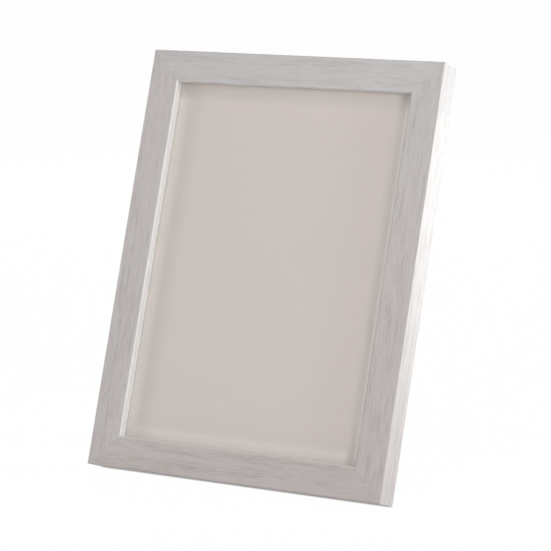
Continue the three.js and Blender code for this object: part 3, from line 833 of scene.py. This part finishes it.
# The pin along X: a rod with a rounded head pressed on both ends, one the mirror of the other.
def makePin():
    p = pin
    radius, edge = p["headRadius"], p["headEdge"]
    head = [(radius - p["headEase"], 0), (radius, p["headEase"]), (radius, edge)]
    for angle in np.linspace(0, math.pi / 2, p["domeSteps"])[1:-1]:
        head.append((radius * math.cos(angle), edge + (p["headHeight"] - edge) * math.sin(angle)))
    head.append((0, p["headHeight"]))
    right = [(p["radius"], p["halfLength"]), *[(out, p["halfLength"] + along) for out, along in head]]
    left = [(out, -along) for out, along in reversed(right)]
    points, faces = turned([*left, *right], p["sides"])
    piece = finishPiece(makeObject("hinge_pin_rod", (points[:, [1, 0, 2]], faces), onHinge))
    fit(piece, wireSteel, "frame", "hinge_pin")


# A rivet along Y: spread tail, shank, and a domed head with a thin upright edge.
def makeRivet(name, node, body, place, faceY, tailY):
    r = rivetSize
    headY, tailEnd = faceY + r["headLift"], tailY - r["tailHeight"]
    head, tail, shank, ease = r["headRadius"], r["tailRadius"], r["shankRadius"], r["edgeEase"]
    profile = [
        (0, tailEnd), (tail - ease, tailEnd), (tail, tailEnd + ease), (tail, tailY),
        (shank, tailY), (shank, headY), (head - ease / 2, headY), (head, headY + ease / 2),
        *dome(head, headY + r["headEdge"], r["headHeight"] - r["headEdge"]),
    ]
    fit(finishPiece(makeObject(name, turned(profile), place)), plated, body, node)


makeLeaf("board_leaf_plate", "hinge_board_leaf", "frame", onHinge, keepMiddle=False)
makeLeaf("leg_leaf_plate", "hinge_leg_leaf", "leg", lambda p: onLeg(aboutX(p, math.pi)), keepMiddle=True)
makePin()
for node, rivet in boardRivets.items():
    x, z = rivet["at"]
    place = lambda p: onFrame(np.add(p, [x, 0, z]))
    makeRivet(node + "_turned", node, "frame", place, rivet["face"], board["rivetTail"])
for number, side in ((1, -1), (2, 1)):
    place = lambda p: onLeg(np.add(p, [side * hingeRivets["aside"], 0, -hingeRivets["away"]]))
    node = f"leg_rivet_{number}"
    makeRivet(node + "_turned", node, "leg", place, leg["outer"], leaf["rivetTail"])
print("hinge made")

button = {
    "pivotRadius": 4.4, "tipRadius": 3.2, "reach": 9.05, "pivotSteps": 44, "tipSteps": 28,
    "low": 0.3, "high": 1.3, "edgeEase": 0.22, "easeSteps": 4, "holeRadius": 1.3,
}
screw = {
    "length": 9.0, "tipLength": 2.0, "tipShare": 0.02, "tipPoint": 0.02, "coreRadius": 0.75,
    "threadRadius": 1.1, "pitch": 1.25, "ridgeSteepness": 5.0, "threadTop": -0.8, "threadFade": 0.8,
    "steps": 150, "sides": 32,
    "headBase": 1.32, "neck": 0.9, "headRadius": 2.7, "headEase": 0.1, "headEdge": 0.35, "headHeight": 1.36,
    "crossLength": 3.2, "crossWidth": 0.75, "crossDepth": 0.95, "crossLift": 0.02,
    "floorLength": 0.45, "floorWidth": 0.7, "firstTurn": 0.5, "turnStep": 1.9,
}


# Two arcs about the pivot and the tip, joined by their common tangents.
def buttonOutline():
    b = button
    tangent = math.acos((b["pivotRadius"] - b["tipRadius"]) / b["reach"])
    pivot = np.linspace(tangent, 2 * math.pi - tangent, b["pivotSteps"])
    tip = np.linspace(-tangent, tangent, b["tipSteps"])
    return np.vstack([
        b["pivotRadius"] * np.stack([np.cos(pivot), np.sin(pivot)], 1),
        b["tipRadius"] * np.stack([np.cos(tip), np.sin(tip)], 1) + [b["reach"], 0]])


# The screw's thread: its radius is the core's, plus a ridge that climbs one pitch in each turn
# and widens into a plain shank under the head. All of it narrows towards the tip.
def screwShape():
    s = screw
    z = np.linspace(-s["length"], s["headBase"] - s["neck"], s["steps"])[:, None]
    turns = np.linspace(0, 1, s["sides"], endpoint=False)
    ridge = np.maximum(0, 1 - np.abs((z / s["pitch"] - turns) % 1 - 0.5) * s["ridgeSteepness"])
    taper = np.clip((z + s["length"]) / s["tipLength"], s["tipShare"], 1)
    fade = np.clip((s["threadTop"] - z) / s["threadFade"], 0, 1)
    ridge = np.maximum(ridge * fade, 1 - fade)
    radius = taper * (s["coreRadius"] + (s["threadRadius"] - s["coreRadius"]) * ridge)
    base, ease = s["headBase"], s["headEase"]
    profile = [(s["threadRadius"], base), (s["headRadius"] - ease, base), (s["headRadius"], base + ease)]
    profile += dome(s["headRadius"], base + s["headEdge"], s["headHeight"] - s["headEdge"])[:-1].tolist()
    headRadius, along = np.array(profile).T[..., None]
    body = np.concatenate([rings(radius, z, s["sides"]), rings(headRadius, along, s["sides"])])
    poles = [[0, -s["length"] - s["tipPoint"], 0], [0, base + s["headHeight"], 0]]
    return np.vstack([body.reshape(-1, 3), poles]), fanned(len(body), s["sides"])


# The cross recess: one arm's outline turned four times, and drawn in at its floor.
def crossShape():
    s = screw
    long, short = s["crossLength"] / 2, s["crossWidth"] / 2
    arm = np.array([(long, -short), (long, short), (short, short)])
    outline = np.vstack([arm @ [[x, z], [-z, x]] for x, z in ((1, 0), (0, 1), (-1, 0), (0, -1))])
    floor = outline * np.where(np.abs(outline) > (long + short) / 2, s["floorLength"], s["floorWidth"])
    top = s["headBase"] + s["headHeight"]
    heights = [top - s["crossDepth"], top + s["crossLift"], top + making["cutPast"]]
    rows = [np.insert(flat, 1, height, axis=1) for flat, height in zip((floor, outline, outline), heights)]
    return np.concatenate(rows), capped(len(rows), len(outline))


# Every button points in over the board, and every screw has stopped at a turn of its own.
def makeButton(where, x, z, number):
    b = button
    place = lambda p: onFrame(aboutY(p, math.pi if x > 0 else 0) + [x, 0, z])
    spin = lambda p: onFrame(aboutY(p, screw["firstTurn"] + screw["turnStep"] * number) + [x, 0, z])
    low, high = b["low"] - making["cutPast"], b["high"] + making["cutPast"]
    hole = makeObject("hole", rod(b["holeRadius"], low, high, 0, 0), place)
    shape = plate(buttonOutline(), b["low"], b["high"], b["edgeEase"], b["easeSteps"])
    piece = finishPiece(makeObject("button_" + where + "_plate", shape, place), [hole])
    fit(piece, plated, "button_" + where, "turn_button_" + where)
    cross = makeObject("cross", crossShape(), spin)
    piece = finishPiece(makeObject("screw_" + where + "_turned", screwShape(), spin), [cross])
    fit(piece, wireSteel, "frame", "button_screw_" + where)
    dropCutters([hole, cross])


corners = {"left_low": (-1, -1), "left_high": (-1, 1), "right_low": (1, -1), "right_high": (1, 1)}
for number, (where, corner) in enumerate(corners.items()):
    makeButton(where, *screwSpot(*corner), number)
print("turn buttons made")

hanger = {
    "out": 2.3, "strapHalf": 4.5, "thickness": 0.78, "edgeEase": 0.14, "eyeMiddle": 1.6, "tailDrop": 6.8,
    "neckDrop": 0.35, "neckRadius": 1.0, "foldDrop": 3.9, "foldRadius": 1.5, "layerGap": 0.02,
    "bendSteps": 12, "tailStart": 0.04, "tailSteps": 14, "holeReach": 4.0,
    "ringHalf": 7.0, "ringDrop": 14.3, "ringCorner": 1.6, "ringSteps": 20, "wireRadius": 0.9,
}
hangers = {
    "top": {"turn": 0, "swing": stance["lean"]},
    "side": {"turn": math.pi / 2, "swing": math.pi / 2},
}


# The folded strap: up from the round tail, over the ring's bar, and down again on itself.
def strapShape():
    h = hanger
    eye, half, drop = h["eyeMiddle"], h["strapHalf"], h["tailDrop"]
    upper, eyeRadius = eye - h["thickness"] - h["layerGap"], eye - making["justUnder"]
    corners = [
        (-eye, -drop), (-eye, eye), (eye, eye),
        (eye, -h["neckDrop"]), (-upper, -h["foldDrop"]), (-upper, -drop),
    ]
    radii = [1, eyeRadius, eyeRadius, h["neckRadius"], h["foldRadius"], 1]
    bends = rounded(corners, radii, h["bendSteps"], closed=False)
    corner = np.linspace(h["tailStart"], math.pi / 2, h["tailSteps"])
    endZ, endWidth = -drop - half * np.cos(corner), half * np.sin(corner)
    path = np.vstack([
        np.stack([np.full(len(endZ), -eye), endZ], 1), bends[1:-1],
        np.stack([np.full(len(endZ), -upper), endZ[::-1]], 1)])
    width = np.concatenate([endWidth, np.full(len(bends) - 2, half), endWidth[::-1]])
    return strip(path, width, h["thickness"], h["edgeEase"])


# The ring: a straight bar with close corners, and a round end.
def ringShape():
    h = hanger
    side, drop, endRadius = h["ringHalf"], h["ringDrop"], h["ringHalf"] - making["justUnder"]
    corners = [(-side, 0), (side, 0), (side, -drop), (-side, -drop)]
    path = rounded(corners, [h["ringCorner"], h["ringCorner"], endRadius, endRadius], h["ringSteps"])
    return wire(path, h["wireRadius"])


# A hanger's own origin is the middle of its ring's bar, above its rivet.
def makeHanger(name, spec):
    h = hanger
    x, z = boardRivets[name + "_hanger_rivet"]["at"]
    place = lambda p: onFrame(aboutY(np.add(p, [0, h["out"], h["tailDrop"]]), spec["turn"]) + [x, 0, z])
    rivetHole = rod(rivetSize["holeRadius"], -h["holeReach"], h["holeReach"], 0, -h["tailDrop"])
    hole = makeObject("hole", rivetHole, place)
    strap = finishPiece(makeObject(name + "_strap_folded", strapShape(), place), [hole])
    dropCutters([hole])
    fit(strap, plated, "frame", name + "_hanger_strap")
    ring = makeObject(name + "_ring_wire", ringShape(), lambda p: place(aboutX(p, spec["swing"])))
    fit(finishPiece(ring), wireSteel, name + "_ring", name + "_hanger_ring")


for name, spec in hangers.items():
    makeHanger(name, spec)
print("hangers made")

studio = {
    "floorSize": 12.0, "floorTone": 0.9, "floorWhite": 0.985, "ambient": 0.19, "aim": (0, 0, 0.1),
    "contactReach": 0.0008, "contactLow": -0.3, "contactHigh": 0.7, "contactSamples": 8,
}


# 1 for what the camera sees straight, in a mirror or through glass, and 0 for all other light.
def seenDirectly(nodes):
    kinds = ("Camera", "Glossy", "Transmission")
    camera, glossy, through = [nodes.add("ShaderNodeLightPath", output=f"Is {kind} Ray") for kind in kinds]
    return camera.larger(glossy).larger(through)


# The floor looks plain white to the camera. Close to what stands on it an ambient occlusion mask paints
# in a contact shadow, by letting the floor's lit paper show.
def makeFloor():
    half = studio["floorSize"] / 2
    corners = np.array([(-half, -half, 0), (half, -half, 0), (half, half, 0), (-half, half, 0)])
    floor = makeObject("floor", (corners, [np.arange(4)[None]]))
    material, nodes = newMaterial("pale_floor")
    paper = nodes.add("ShaderNodeBsdfDiffuse", {}, {"Color": (*[studio["floorTone"]] * 3, 1)})
    white = nodes.add("ShaderNodeEmission", {}, {"Color": (1, 1, 1, 1), "Strength": 1.0})
    openness = nodes.add("ShaderNodeAmbientOcclusion", {"samples": studio["contactSamples"]}, {
        "Distance": studio["contactReach"]}, output=1)
    openness = rise(nodes, openness, studio["contactLow"], studio["contactHigh"])
    factor = seenDirectly(nodes) * openness * studio["floorWhite"]
    output(nodes, nodes.add("ShaderNodeMixShader", {}, {0: factor, 1: paper, 2: white}))
    floor.data.materials.append(material)


def makeWorld():
    world = bpy.data.worlds.new("studio")
    scene.world = world
    world.use_nodes = True
    nodes = Nodes(world.node_tree)
    strength = studio["ambient"] + seenDirectly(nodes) * (1 - studio["ambient"])
    sky = nodes.add("ShaderNodeBackground", {}, {"Color": (1, 1, 1, 1), "Strength": strength})
    output(nodes, sky, "ShaderNodeOutputWorld")


# Lamps point at the middle of the frame unless they have an aim of their own. Two light the right
# side: one all of it, the narrow one its upper half. The three that the pane would mirror towards
# a viewer in front are left out of reflections.
coolWhite = (0.91, 0.985, 1.0)
lamps = {
    "frontLamp": {"place": (0.824, -0.692, 0.329), "size": 0.3, "power": 4.0, "mirrored": False},
    "fillLamp": {"place": (0.581, -1.141, 0.326), "size": 0.3, "power": 1.8, "mirrored": False},
    "leftLamp": {"place": (-1.049, -0.558, 0.267), "size": 0.4, "power": 3.1, "mirrored": False},
    "topLamp": {"place": (0.0, -0.491, 1.085), "size": 0.5, "power": 3.1},
    "rightLamp": {"place": (1.050, -0.101, 0.412), "size": 0.3, "power": 4.15, "colour": coolWhite},
    "sideLamp": {
        "place": (0.50, 0.16, 0.26), "aim": (0.076, 0.024, 0.125), "size": 0.16, "power": 0.12,
        "spread": 34, "colour": coolWhite,
    },
    "backLamp": {"place": (-0.55, 1.0, 0.75), "size": 0.6, "power": 6.0},
}


def makeLamp(name, lamp):
    data = bpy.data.lights.new(name, "AREA")
    data.shape, data.size, data.energy = "DISK", lamp["size"], lamp["power"]
    data.color, data.spread = lamp.get("colour", (1, 1, 1)), math.radians(lamp.get("spread", 180))
    made = bpy.data.objects.new(name, data)
    scene.collection.objects.link(made)
    made.visible_glossy = lamp.get("mirrored", True)
    made.visible_transmission = made.visible_glossy
    made.location = lamp["place"]
    made.rotation_euler = turnTo(lamp["place"], lamp.get("aim", studio["aim"]))


makeFloor()
makeWorld()
for name, lamp in lamps.items():
    makeLamp(name, lamp)
scene.view_settings.view_transform = "Standard"
print("studio made")
